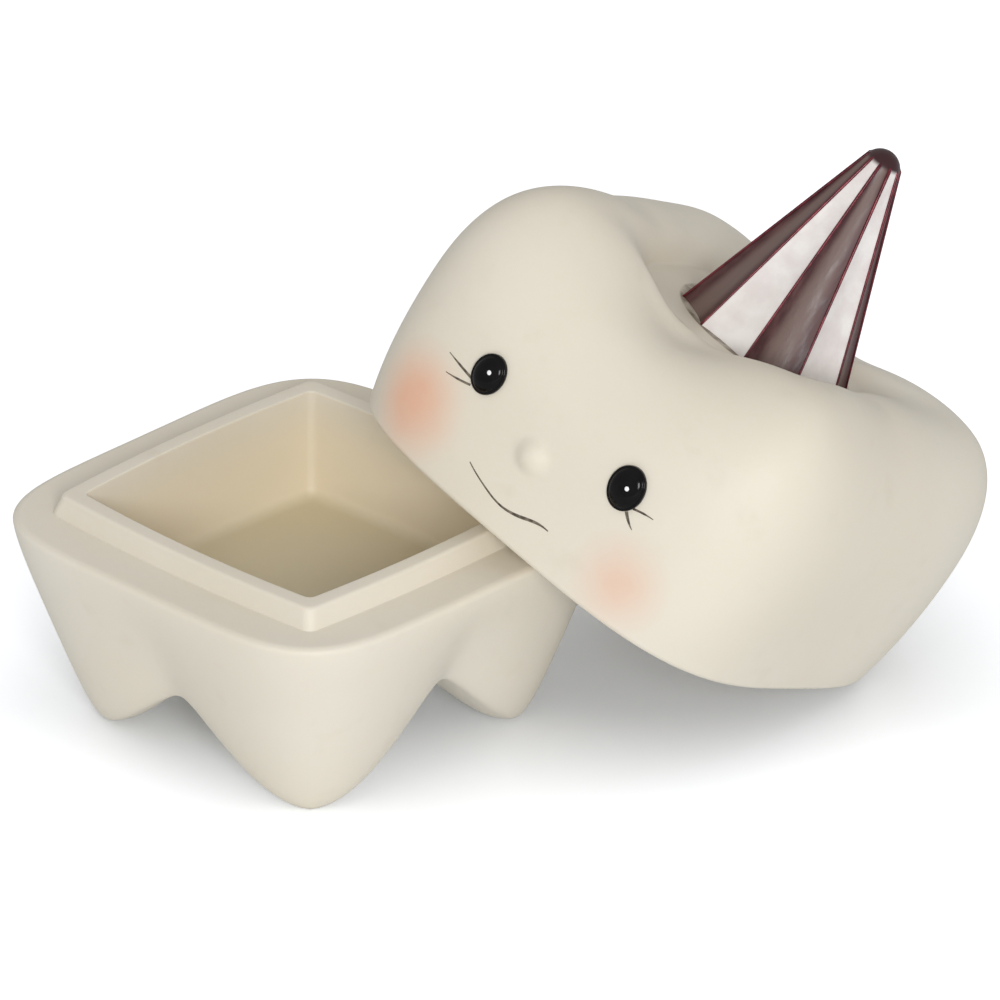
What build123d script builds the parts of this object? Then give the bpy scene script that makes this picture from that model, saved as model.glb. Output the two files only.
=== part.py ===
from math import asin, atan2, cos, degrees, hypot, log2, pi, sin
import os

from build123d import *

# A keepsake box in the shape of a back tooth, cast in resin: a tray on four root-like feet and
# a hollow lid with a face and a party hat. The lid is off. One corner of it is on the ground,
# and its front lip leans on the rim of the tray.
# The tray's sides lie along X and Y. All sizes are in millimetres.

# Tray: body. A corner cut is how far a rounded corner stays inside the sharp one.
rim_half_width = 33.3
rim_corner_cut = 6.3
rim_height = 30.6
rim_edge_radius = 1.6
rim_skirt = 5.0
foot_corner_cut = 2.6
foot_thickness = 3.6
foot_tip_radius = 1.6
foot_trim = 0.35
arch_height = 9.4
arch_crown_radius = 2.5
arch_lip_reach = 21.0
vault_height = 11.4
vault_half_width = 3.0

# Tray: square cavity and the collar round it
cavity_half_width = 21.7
cavity_depth = 16.2
cavity_corner_radius = 1.2
cavity_floor_radius = 1.6
side_bow = 1.0
collar_height = 2.9
collar_wall = 2.6
collar_draft = 0.8
collar_corner_radius = 1.6
collar_edge_radius = 0.6

# Lid
lid_half_width = 34.5
lid_corner_cut = 8.7
lid_swell = 1.0
lid_corner_swell = 3.0
swell_level = 19.5
low_section_height = 27.6
front_middle_height = 33.6
front_lobe_height = 40.2
side_middle_height = 38.4
back_lobe_height = 36.9
back_middle_height = 33.5
front_lobe_heading = 50
back_lobe_heading = 140
brow_drop = 5.1
basin_height = 34.8
basin_margin = 0.15
basin_corner_swell = 1.4
lid_edge_radius = 0.8
hollow_depth = 16.0
hollow_roof_radius = 3.0
lid_clearance = 0.5
nose_width = 4.8
nose_rise = 1.0
nose_blend_radius = 1.0
nose_level = 12.6

# Eyes
eye_spread = 13.2
eye_level = 18.1
left_eye_width = 4.9
left_eye_height = 6.0
right_eye_width = 5.6
right_eye_height = 6.5
eye_rise = 1.3
eye_seat_depth = 0.9

# Party hat
hat_width = 26.6
hat_height = 33.1
hat_tip_radius = 3.1
hat_seat_depth = 0.8
hat_seat_clearance = 0.3
hat_to_side = 1.9
hat_to_back = 1.2
stripe_count = 10
flute_depth = 1.2

# How the lid leans on the tray
lean_tilt = 32.9
lean_heading = 57.9
lid_turn = 8.9
front_lip_gap = 0.6
side_lip_gap = 1.4

cut_overrun = 1.0

# Shares and counts
arch_slope_share = 0.6
belly_reach_share = 0.47
belly_level_share = 0.43
curl_share = 0.25
heel_share = 0.87
low_swell_share = 0.73
low_level_share = 0.45
lobe_outer_share = 0.865
lobe_inner_share = 0.59
flute_fade_share = 0.75
round_share = 1 - 0.5**0.5
quarter_points = 12
arch_bunching_share = 0.4
skin_rings = 20
underside_rings = 16
crown_rings = 22
dome_angles = (0, 18, 36, 54, 70, 84)


def sharp_corner(half_width):
    """Distance from the axis to the sharp corner of a square."""
    return hypot(half_width, half_width)


def soft_square(side, corner, angle):
    """Distance from the axis to the edge of a soft square, from its reach at side and corner."""
    power = 1 / (0.5 - log2(corner / side))
    return side / (abs(cos(angle)) ** power + abs(sin(angle)) ** power) ** (1 / power)


def ring(side, corner, blend, bunching_share):
    """A closed wire of four edges that meet, level, over the middles of the sides.

    Its points lie closer together there by the bunching share.
    """
    quarters = []
    for quarter in range(4):
        points = []
        for step in range(quarter_points + 1):
            share = step / quarter_points
            bunched = share - bunching_share * sin(2 * pi * share) / (2 * pi)
            angle = pi / 2 * (quarter + bunched)
            radius = soft_square(side.X, corner.X, angle)
            level = side.Y + (corner.Y - side.Y) * blend(angle)
            points.append(Vector(radius * cos(angle), radius * sin(angle), level))
        start_way = Vector(0, 1, 0).rotate(Axis.Z, 90 * quarter)
        end_way = Vector(-1, 0, 0).rotate(Axis.Z, 90 * quarter)
        quarters.append(Edge.make_spline(points, tangents=[start_way, end_way]))
    return Wire(quarters)


def rings_along(side_profile, corner_profile, count, blend_at, bunching_share=0):
    """Evenly spaced rings from the start of two half sections to their end."""
    rings = []
    for step in range(count):
        share = step / (count - 1)
        side, corner = side_profile @ share, corner_profile @ share
        rings.append(ring(side, corner, blend_at(share), bunching_share))
    return rings


def foot_level(offset):
    """Lower edge of the tray: an arch with straight slopes, rounded off into a foot."""
    fall = arch_slope_share * (hypot(offset, arch_crown_radius) - arch_crown_radius)
    level = arch_height - fall
    return (level + hypot(level, foot_tip_radius)) / 2


def arch_blend(angle):
    """0 at the crown of an arch and 1 at the tip of a foot."""
    offset = toe_reach * min(abs(cos(angle)), abs(sin(angle)))
    toe_level = foot_level(toe_reach * cos(pi / 4))
    return (foot_level(0) - foot_level(offset)) / (foot_level(0) - toe_level)


def vault_blend(share):
    """The arches' blend at the lower edge, which softens into one wave up to the vault."""

    def blend(angle):
        wave = (1 - cos(4 * angle)) / 2
        return arch_blend(angle) + (wave - arch_blend(angle)) * sin(pi / 2 * share)

    return blend


def bowed_square(half_width, corner_radius):
    """A square whose sides bow outward, with rounded corners."""
    with BuildSketch() as sketch:
        with BuildLine():
            for quarter in range(4):
                turn = 90 * quarter
                start = Vector(half_width, half_width).rotate(Axis.Z, turn)
                middle = Vector(0, half_width + side_bow).rotate(Axis.Z, turn)
                end = Vector(-half_width, half_width).rotate(Axis.Z, turn)
                ThreePointArc(start, middle, end)
        make_face()
        fillet(sketch.vertices(), radius=corner_radius)
    return sketch.sketch


# Tray: the outside runs from the rim down to the feet, and the underside from there to the vault
rim_corner_reach = sharp_corner(rim_half_width) - rim_corner_cut
toe_reach = sharp_corner(arch_lip_reach) - foot_corner_cut
heel_reach = toe_reach - foot_thickness
collar_top = rim_height + collar_height
collar_half_width = cavity_half_width + collar_wall + collar_draft
cavity_floor = collar_top - cavity_depth


def skin_profile(rim_reach, end_reach, end_level):
    """Half section of the tray's outside, over a corner or over the middle of a side."""
    taper = rim_reach - end_reach
    drop = rim_height - end_level
    return Bezier(
        (rim_reach, rim_height),
        (rim_reach, rim_height - rim_skirt),
        (end_reach + taper * belly_reach_share, end_level + drop * belly_level_share),
        (end_reach + taper * curl_share, end_level),
        (end_reach, end_level),
    )


corner_skin = skin_profile(rim_corner_reach, toe_reach, -foot_trim)
side_skin = skin_profile(rim_half_width, arch_lip_reach, arch_height)
corner_underside = Bezier(
    (toe_reach, -foot_trim),
    (heel_reach, -foot_trim),
    (heel_reach * heel_share, -foot_trim),
    (heel_reach / 2, vault_height),
    (vault_half_width, vault_height),
)
side_underside = Bezier(
    (arch_lip_reach, arch_height),
    (arch_lip_reach * heel_share, arch_height),
    (arch_lip_reach / 2, vault_height),
    (vault_half_width, vault_height),
)
skin = rings_along(
    side_skin, corner_skin, skin_rings, lambda share: arch_blend, arch_bunching_share
)
underside = rings_along(
    side_underside, corner_underside, underside_rings, vault_blend, arch_bunching_share
)

with BuildPart() as collar_stock:
    with BuildSketch(Plane.XY.offset(rim_height)):
        add(bowed_square(collar_half_width, collar_corner_radius))
    with BuildSketch(Plane.XY.offset(collar_top)):
        add(bowed_square(collar_half_width - collar_draft, collar_corner_radius))
    loft()
    fillet(collar_stock.faces().sort_by(Axis.Z)[-1].edges(), radius=collar_edge_radius)

with BuildPart() as cavity_stock:
    with BuildSketch(Plane.XY.offset(cavity_floor)):
        add(bowed_square(cavity_half_width, cavity_corner_radius))
    extrude(amount=cavity_depth + cut_overrun)
    fillet(cavity_stock.faces().sort_by(Axis.Z)[0].edges(), radius=cavity_floor_radius)

with BuildPart() as tray:
    add(Solid.make_loft(skin + underside[1:]))
    split(bisect_by=Plane.XY, keep=Keep.TOP)
    rim_face = tray.faces().sort_by(Axis.Z)[-1]
    fillet(rim_face.edges(), radius=rim_edge_radius)
    add(collar_stock.part)
    add(cavity_stock.part, mode=Mode.SUBTRACT)

# Lid: upright, with its lip at zero, the face towards -Y and the crown up. Its four lobes aren't
# equally high: the crown falls from the front ones to the back ones.
hollow_half_width = collar_half_width + lid_clearance
lip_reach = hollow_half_width + side_bow
lid_corner_reach = sharp_corner(lid_half_width) - lid_corner_cut
hat_radius = hat_width / 2
seat_radius = hat_radius + hat_seat_clearance
basin_half_width = seat_radius + hypot(hat_to_side, hat_to_back) + basin_margin
basin_corner_reach = basin_half_width + basin_corner_swell
crown_heights = (
    (0, front_middle_height),
    (front_lobe_heading, front_lobe_height),
    (90, side_middle_height),
    (back_lobe_heading, back_lobe_height),
    (180, back_middle_height),
)


def crown_blend(angle):
    """0 at the height of the crown's low section and 1 at the height of its front lobes."""
    off_front = degrees(abs((angle + 3 * pi / 2) % (2 * pi) - pi))
    for (start, low), (end, high) in zip(crown_heights, crown_heights[1:]):
        if off_front <= end:
            break
    wave = (1 - cos(pi * (off_front - start) / (end - start))) / 2
    height = low + (high - low) * wave
    return (height - low_section_height) / (front_lobe_height - low_section_height)


def crown_profile(base_reach, swell, top, basin_reach):
    """Half section of the lid's outside, over a corner or over the middle of a side."""
    return Spline(
        (base_reach, 0),
        (base_reach + swell * low_swell_share, swell_level * low_level_share),
        (base_reach + swell, swell_level),
        (base_reach, top - brow_drop),
        (base_reach * lobe_outer_share, top),
        (base_reach * lobe_inner_share, top),
        (basin_reach, basin_height),
    )


low_section = crown_profile(lid_half_width, lid_swell, low_section_height, basin_half_width)
high_section = crown_profile(
    lid_corner_reach, lid_corner_swell, front_lobe_height, basin_corner_reach
)

with BuildPart() as hollow_stock:
    with BuildSketch(Plane.XY.offset(-cut_overrun)):
        add(bowed_square(hollow_half_width, collar_corner_radius + lid_clearance))
    extrude(amount=hollow_depth + cut_overrun)
    fillet(hollow_stock.faces().sort_by(Axis.Z)[-1].edges(), radius=hollow_roof_radius)

hat_base = Vector(hat_to_side, hat_to_back, basin_height - hat_seat_depth)

with BuildPart() as crown:
    crown_wires = rings_along(low_section, high_section, crown_rings, lambda share: crown_blend)
    add(Solid.make_loft(crown_wires))


def face_plane(side, level):
    """Plane on the face at a place, square to the skin, with its Z outward."""
    look = Axis((side, -2 * lid_half_width, level), (0, 1, 0))
    point, normal = crown.part.find_intersection_points(look)[0]
    return Plane(origin=point, x_dir=(1, 0, 0), z_dir=normal)


left_eye_plane = face_plane(-eye_spread, eye_level).offset(-eye_seat_depth)
right_eye_plane = face_plane(eye_spread, eye_level).offset(-eye_seat_depth)
nose_radius = (nose_width**2 / 4 + nose_rise**2) / (2 * nose_rise)
nose_plane = face_plane(0, nose_level).offset(nose_rise - nose_radius)

with BuildPart() as lid:
    add(crown.part)
    with Locations(nose_plane):
        Sphere(radius=nose_radius)
    nose_foot = lid.edges().filter_by(GeomType.BSPLINE).sort_by_distance(nose_plane.origin)[0]
    fillet(nose_foot, radius=nose_blend_radius)
    fillet(lid.faces().sort_by(Axis.Z)[0].edges(), radius=lid_edge_radius)
    add(hollow_stock.part, mode=Mode.SUBTRACT)
    with BuildSketch(Plane(hat_base)):
        Circle(seat_radius)
    extrude(amount=front_lobe_height, mode=Mode.SUBTRACT)
    for plane, width, height in (
        (left_eye_plane, left_eye_width, left_eye_height),
        (right_eye_plane, right_eye_width, right_eye_height),
    ):
        with BuildSketch(plane):
            Ellipse(width / 2, height / 2)
        extrude(amount=eye_seat_depth + cut_overrun, mode=Mode.SUBTRACT)


def build_eye(plane, width, height):
    """A raised oval: a low plinth in its seat, then a dome."""
    with BuildPart() as eye:
        with BuildSketch(plane):
            Ellipse(width / 2, height / 2)
        extrude(amount=eye_seat_depth)
        for angle in dome_angles:
            shrink = cos(angle * pi / 180)
            with BuildSketch(plane.offset(eye_seat_depth + eye_rise * sin(angle * pi / 180))):
                Ellipse(width / 2 * shrink, height / 2 * shrink)
        loft()
    return eye


left_eye = build_eye(left_eye_plane, left_eye_width, left_eye_height)
right_eye = build_eye(right_eye_plane, right_eye_width, right_eye_height)

# Party hat: a cone with a round tip. Its ten stripes are shallow flutes, which fade out upward.
tip_level = hat_height - hat_tip_radius
flank_angle = atan2(hat_radius, tip_level) - asin(hat_tip_radius / hypot(hat_radius, tip_level))
shoulder_reach = hat_tip_radius * cos(flank_angle)
shoulder_level = tip_level + hat_tip_radius * sin(flank_angle)
stripe_turn = 360 / stripe_count


def fluted_circle(radius, depth):
    """A circle with one edge for each stripe, hollowed by a depth."""
    with BuildSketch() as sketch:
        with BuildLine():
            for index in range(stripe_count):
                start = Vector(radius, 0).rotate(Axis.Z, stripe_turn * index)
                middle = Vector(radius - depth, 0).rotate(Axis.Z, stripe_turn * (index + 0.5))
                end = Vector(radius, 0).rotate(Axis.Z, stripe_turn * (index + 1))
                ThreePointArc(start, middle, end)
        make_face()
    return sketch.sketch


fade_reach = hat_radius + (shoulder_reach - hat_radius) * flute_fade_share
fade_depth = flute_depth * fade_reach / hat_radius

with BuildPart() as party_hat:
    with BuildSketch():
        add(fluted_circle(hat_radius, flute_depth))
    with BuildSketch(Plane.XY.offset(shoulder_level * flute_fade_share)):
        add(fluted_circle(fade_reach, fade_depth))
    with BuildSketch(Plane.XY.offset(shoulder_level)):
        add(fluted_circle(shoulder_reach, 0))
    loft()
    with BuildSketch(Plane.XZ):
        with BuildLine():
            Polyline((0, hat_height), (0, shoulder_level), (shoulder_reach, shoulder_level))
            RadiusArc((shoulder_reach, shoulder_level), (0, hat_height), -hat_tip_radius)
        make_face()
    revolve(axis=Axis.Z)

party_hat.part.move(Location(hat_base))

# The lid leans: one corner stands on the ground, and its hollow hooks over a corner of the tray.
# The gaps between its inner lip and the tray's rim fix its place along X and along Y.
lean = (
    Location((0, 0, 0), (0, 0, lean_heading))
    * Location((0, 0, 0), (0, lean_tilt, 0))
    * Location((0, 0, 0), (0, 0, lid_turn - lean_heading))
)
lid_side = (lean * Location((1, 0, 0))).position
lid_front = (lean * Location((0, -1, 0))).position
standing_level = -lid.part.moved(lean).bounding_box().min.Z
rim_bevel = rim_edge_radius * round_share
x_rim = Vector(rim_half_width - rim_bevel, 0, rim_height - rim_bevel)
y_rim = Vector(0, rim_half_width - rim_bevel, rim_height - rim_bevel)
away_from_x_rim = lid_side.cross(Vector(0, 1, 0)).normalized()
away_from_y_rim = lid_front.cross(Vector(1, 0, 0)).normalized()
front_hold = front_lip_gap + away_from_x_rim.dot(x_rim - lid_front * lip_reach)
side_hold = side_lip_gap + away_from_y_rim.dot(y_rim + lid_side * lip_reach)
lid_centre = Vector(
    (front_hold - away_from_x_rim.Z * standing_level) / away_from_x_rim.X,
    (side_hold - away_from_y_rim.Z * standing_level) / away_from_y_rim.Y,
    standing_level,
)
for piece in (lid, party_hat, left_eye, right_eye):
    piece.part.move(Location(lid_centre) * lean)

# The origin is on the ground, under the middle of the box that holds every piece
tray.part.label = "tray"
lid.part.label = "lid"
party_hat.part.label = "party_hat"
left_eye.part.label = "left_eye"
right_eye.part.label = "right_eye"
pieces = (tray, lid, party_hat, left_eye, right_eye)
reaches = [piece.part.bounding_box() for piece in pieces]
middle_x = (min(reach.min.X for reach in reaches) + max(reach.max.X for reach in reaches)) / 2
middle_y = (min(reach.min.Y for reach in reaches) + max(reach.max.Y for reach in reaches)) / 2
for piece in pieces:
    piece.part.move(Location((-middle_x, -middle_y, 0)))

print("Tray's centre:", -middle_x, -middle_y)
print("Lid's centre from the tray's:", lid_centre)

os.makedirs("parts", exist_ok=True)
export_step(tray.part, "parts/tray.step")
export_step(lid.part, "parts/lid.step")
export_step(party_hat.part, "parts/party_hat.step")
export_step(left_eye.part, "parts/left_eye.step")
export_step(right_eye.part, "parts/right_eye.step")
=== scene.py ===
from math import atan, atan2, cos, hypot, pi, radians, sin, sqrt

import bpy
import numpy as np
from mathutils import Matrix, Vector
from mathutils.bvhtree import BVHTree


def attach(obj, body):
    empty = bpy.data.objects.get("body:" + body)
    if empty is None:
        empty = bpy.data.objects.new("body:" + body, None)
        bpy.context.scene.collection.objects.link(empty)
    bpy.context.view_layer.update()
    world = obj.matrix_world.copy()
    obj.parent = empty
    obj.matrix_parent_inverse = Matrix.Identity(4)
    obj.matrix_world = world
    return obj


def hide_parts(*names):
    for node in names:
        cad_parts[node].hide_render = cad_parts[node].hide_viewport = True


# The looks of a tooth-shaped keepsake box: smooth cast resin, a painted face, glossy eyes and a
# striped party hat. Lengths in the named values are in millimetres and angles in degrees.
MM = 0.001

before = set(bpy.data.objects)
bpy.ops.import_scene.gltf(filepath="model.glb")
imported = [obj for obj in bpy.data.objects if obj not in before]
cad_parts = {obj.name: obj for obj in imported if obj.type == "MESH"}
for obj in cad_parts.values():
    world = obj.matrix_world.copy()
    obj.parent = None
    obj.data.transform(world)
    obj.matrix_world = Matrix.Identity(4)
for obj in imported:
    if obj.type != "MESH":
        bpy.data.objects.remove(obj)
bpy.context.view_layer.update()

# Where things stand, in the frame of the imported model
TRAY_CENTRE = Vector((-17.0941, -23.574, 0))
LID_FROM_TRAY = Vector((22.5802, 35.945, 21.5612))
LEAN_TILT = 32.9
LEAN_HEADING = 57.9
LID_TURN = 8.9

# How the tray's and the lid's skins are divided round the axis
CORNER_CROWDING = 0.18
ANGLES_A_SIDE = 120

# Tray
RIM_HALF_WIDTH = 33.08
RIM_CORNER_REACH = 40.55
RIM_HEIGHT = 30.6
RIM_EDGE_RADIUS = 1.0
RIM_SKIRT = 5.0
RIM_SQUARENESS = 2.2
TOE_REACH = 27.6
FOOT_THICKNESS = 3.6
FOOT_TIP_RADIUS = 2.2
FOOT_TRIM = 0.35
TAPER_BEND_REACH_SHARE = 0.47
TAPER_BEND_HEIGHT_SHARE = 0.43
TOE_BEND_SHARE = 0.25
HEEL_BEND_SHARE = 0.87
ARCH_HEIGHT = 11.4
ARCH_UNEVENNESS = 0.22
ARCH_SLOPE = 0.73
ARCH_CROWN_RADIUS = 2.5
ARCH_LIP_REACH = 24.4
VAULT_HEIGHT = 13.8
VAULT_HALF_WIDTH = 3.0
CAVITY_HALF_WIDTH = 21.7
CAVITY_DEPTH = 16.2
CAVITY_CORNER_RADIUS = 1.2
CAVITY_FLOOR_RADIUS = 1.6
SIDE_BOW = 1.0
COLLAR_HEIGHT = 2.9
COLLAR_WALL = 2.6
COLLAR_DRAFT = 0.8
COLLAR_CORNER_RADIUS = 1.6
COLLAR_EDGE_RADIUS = 0.6
CAVITY_MOUTH_RADIUS = 0.25
COLLAR_TOP = RIM_HEIGHT + COLLAR_HEIGHT
CAVITY_FLOOR = COLLAR_TOP - CAVITY_DEPTH
COLLAR_HALF_WIDTH = CAVITY_HALF_WIDTH + COLLAR_WALL + COLLAR_DRAFT

# Lid
LID_HALF_WIDTH = 34.42
LID_CORNER_REACH = 39.98
LID_SWELL = 1.0
LID_CORNER_SWELL = 2.9
SWELL_LEVEL = 19.5
LOW_SECTION_TOP = 27.6
FRONT_MIDDLE_HEIGHT = 33.6
FRONT_LOBE_HEIGHT = 40.2
SADDLE_HEIGHT = 38.4
BACK_LOBE_HEIGHT = 36.9
BACK_MIDDLE_HEIGHT = 33.5
FRONT_LOBE_HEADING = 50
SADDLE_HEADING = 90
BACK_LOBE_HEADING = 140
BROW_DROP = 5.1
CHEEK_SWELL_SHARE = 0.73
CHEEK_LEVEL_SHARE = 0.45
BROW_REACH_SHARE = 0.865
TOP_REACH_SHARE = 0.59
BASIN_HEIGHT = 34.8
BASIN_HALF_WIDTH = 16.0
BASIN_CORNER_REACH = 17.4
LID_EDGE_RADIUS = 0.8
HOLLOW_DEPTH = 16.0
HOLLOW_ROOF_RADIUS = 3.0
LID_CLEARANCE = 0.5
HOLLOW_HALF_WIDTH = COLLAR_HALF_WIDTH + LID_CLEARANCE
HOLLOW_CORNER_RADIUS = COLLAR_CORNER_RADIUS + LID_CLEARANCE
NOSE_WIDTH = 4.8
NOSE_RISE = 1.15
NOSE_SOFTNESS = 0.16
NOSE_FADE_SHARE = 0.4
NOSE_TO_SIDE = -1.8
NOSE_LEVEL = 12.5

# Eyes
LEFT_EYE_PLACE = (-13.6, 17.6)
LEFT_EYE = (5.1, 6.1)
LEFT_EYE_TILT = -7
LEFT_DOT = (0.36, 0.63)
RIGHT_EYE_PLACE = (12.6, 17.9)
RIGHT_EYE = (5.6, 6.6)
RIGHT_EYE_TILT = 0
RIGHT_DOT = (0.49, 0.31)
DOT_RADIUS = 0.34
DOT_RISE = 0.1
DOT_SINK = 0.03
EYE_RISE = 1.3
EYE_SINK = 0.7
EYE_LIP_BASE = 0.3025
EYE_LIP_INWARD = 0.22
EYE_LIP_RISE = 0.25
EYE_GROOVE_START = 0.34
EYE_GROOVE_TOP = 0.22
EYE_DOME_START = 0.42
EYE_DOME_BASE = 0.18

# Hat
HAT_RADIUS = 13.3
HAT_HEIGHT = 33.1
HAT_TIP_RADIUS = 2.75
HAT_SEAT_DEPTH = 0.8
HAT_TO_SIDE = 1.9
HAT_TO_BACK = 1.2
HAT_STRIPES = 10
FLUTE_DEPTH = 1.2
FLUTE_FADE_SHARE = 0.75
RIDGE_RADIUS = 0.16
RIDGE_GROWTH = 1.6

# Camera: the photograph is 1000 pixels square
PHOTO_SIDE = 1000
PIXELS_PER_MM = 7.34
CAMERA_DISTANCE = 6000
CAMERA_SEES_TO = 10000
CAMERA_AZIMUTH = 45
CAMERA_ELEVATION = 27.4
AIM_RIGHT = 25.75
AIM_UP = 28.86
SENSOR = 36


def soft_square(side, corner, angle):
    """Distance from the axis to the edge of a soft square, from its reach at side and corner."""
    power = 1 / (0.5 - np.log2(corner / side))
    return side / (np.abs(np.cos(angle)) ** power + np.abs(np.sin(angle)) ** power) ** (1 / power)


def bowed_square(half_width, corner_radius, angle):
    """Distance from the axis to the edge of a square with bowed sides and rounded corners."""
    bow_radius = (half_width**2 + SIDE_BOW**2) / (2 * SIDE_BOW)
    bow_centre = half_width + SIDE_BOW - bow_radius
    off_side = np.abs((angle + pi / 4) % (pi / 2) - pi / 4)
    along = bow_centre * np.cos(off_side)
    side = along + np.sqrt(bow_radius**2 - (bow_centre * np.sin(off_side)) ** 2)
    inner = bow_radius - corner_radius
    round_place = (bow_centre + sqrt(2 * inner**2 - bow_centre**2)) / 2
    tangent = Vector((round_place, round_place - bow_centre)).normalized()
    touch = Vector((round_place, round_place)) + tangent * corner_radius
    touch_off_corner = abs(atan2(touch.y, touch.x) - pi / 4)
    off_corner = pi / 4 - off_side
    reach = round_place * sqrt(2)
    under_root = np.maximum(corner_radius**2 - (reach * np.sin(off_corner)) ** 2, 0)
    rounded = reach * np.cos(off_corner) + np.sqrt(under_root)
    return np.where(off_corner < touch_off_corner, rounded, side)


def bezier(points, share):
    """Points on a Bezier curve at an array of shares from 0 to 1."""
    points = [np.outer(np.ones_like(share), point) for point in points]
    weight = share[:, None]
    while len(points) > 1:
        points = [a + (b - a) * weight for a, b in zip(points, points[1:])]
    return points[0]


def cubic_through(points, share):
    """Points on a smooth cubic curve through given points, spaced by their distances."""
    points = np.array(points, float)
    knots = np.concatenate(([0], np.cumsum(np.linalg.norm(np.diff(points, axis=0), axis=1))))
    gaps = np.diff(knots)
    count = len(points)
    slopes = np.diff(points, axis=0) / gaps[:, None]
    start = slopes[0] - (slopes[1] - slopes[0]) * gaps[0] / (gaps[0] + gaps[1])
    end = slopes[-1] + (slopes[-1] - slopes[-2]) * gaps[-1] / (gaps[-1] + gaps[-2])
    matrix = np.zeros((count, count))
    right = np.zeros((count, 2))
    matrix[0, 0] = matrix[-1, -1] = 1
    right[0], right[-1] = start, end
    for i in range(1, count - 1):
        matrix[i, i - 1] = gaps[i]
        matrix[i, i] = 2 * (gaps[i - 1] + gaps[i])
        matrix[i, i + 1] = gaps[i - 1]
        right[i] = 3 * (gaps[i] * slopes[i - 1] + gaps[i - 1] * slopes[i])
    tangents = np.linalg.solve(matrix, right)
    place = share * knots[-1]
    span = np.clip(np.searchsorted(knots, place, side="right") - 1, 0, count - 2)
    width = gaps[span][:, None]
    t = ((place - knots[span]) / gaps[span])[:, None]
    return (
        (1 + 2 * t) * (1 - t) ** 2 * points[span]
        + t * (1 - t) ** 2 * width * tangents[span]
        + t**2 * (3 - 2 * t) * points[span + 1]
        + t**2 * (t - 1) * width * tangents[span + 1]
    )


def evenly(curve, shares):
    """A curve read at shares of its length."""
    fine = curve(np.linspace(0, 1, 2000))
    length = np.concatenate(([0], np.cumsum(np.linalg.norm(np.diff(fine, axis=0), axis=1))))
    length /= length[-1]
    return np.stack([np.interp(shares, length, fine[:, i]) for i in range(2)], axis=1)


def lofted(side, corner, angles, blend):
    """Rings of points between a half section over the sides and one over the corners.

    The blend is one for all rings, or has a row for each.
    """
    rings = []
    blends = np.broadcast_to(blend, (len(side), len(angles)))
    for (side_x, side_z), (corner_x, corner_z), ring_blend in zip(side, corner, blends):
        reach = soft_square(side_x, corner_x, angles)
        level = side_z + (corner_z - side_z) * ring_blend
        rings.append((reach, level))
    return rings


def grid_mesh(name, rings, angles):
    """A closed smooth skin from rings of (reach, level), in millimetres, round the Z axis."""
    columns = len(angles)
    points = []
    for reach, level in rings:
        reach = np.broadcast_to(reach, angles.shape)
        level = np.broadcast_to(level, angles.shape)
        points.append(np.stack([reach * np.cos(angles), reach * np.sin(angles), level], axis=1))
    points = np.concatenate(points) * MM
    faces = []
    for row in range(len(rings) - 1):
        low, high = row * columns, (row + 1) * columns
        for column in range(columns):
            after = (column + 1) % columns
            faces.append((low + column, low + after, high + after, high + column))
    first = len(points)
    centres = [np.mean(points[:columns], axis=0), np.mean(points[-columns:], axis=0)]
    points = np.concatenate([points, centres])
    last = (len(rings) - 1) * columns
    for column in range(columns):
        after = (column + 1) % columns
        faces.append((first, after, column))
        faces.append((first + 1, last + column, last + after))
    mesh = bpy.data.meshes.new(name)
    mesh.from_pydata([tuple(point) for point in points], [], faces)
    mesh.validate()
    mesh.polygons.foreach_set("use_smooth", [True] * len(mesh.polygons))
    piece = bpy.data.objects.new(name, mesh)
    bpy.context.scene.collection.objects.link(piece)
    return piece


def seat(piece, place):
    """Puts a piece that was made round its own axis where it stands. Its place is in its mesh."""
    piece.data.transform(place)
    return piece


def corner_dense_angles(count):
    """Angles round the axis, closer together at the four corners."""
    even = np.arange(4 * count) / (4 * count) * 2 * pi
    return even + CORNER_CROWDING * np.sin(4 * even)


# Tray
angles = corner_dense_angles(ANGLES_A_SIDE)
HEEL_REACH = TOE_REACH - FOOT_THICKNESS


def foot_level(offset):
    """Lower edge of the tray: an arch with straight slopes, rounded off into a foot.

    The offset is the distance along a side from the arch's middle.
    """
    fall = ARCH_SLOPE * (np.hypot(offset, ARCH_CROWN_RADIUS) - ARCH_CROWN_RADIUS)
    level = ARCH_HEIGHT - fall
    return (level + np.hypot(level, FOOT_TIP_RADIUS)) / 2


def skin_profile(rim_reach, end_reach, end_level):
    """Half section of the tray's outside, over a corner or over the middle of a side."""
    taper = rim_reach - end_reach
    drop = RIM_HEIGHT - end_level
    return [
        (rim_reach, RIM_HEIGHT),
        (rim_reach, RIM_HEIGHT - RIM_SKIRT),
        (end_reach + taper * TAPER_BEND_REACH_SHARE, end_level + drop * TAPER_BEND_HEIGHT_SHARE),
        (end_reach + taper * TOE_BEND_SHARE, end_level),
        (end_reach, end_level),
    ]


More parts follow.
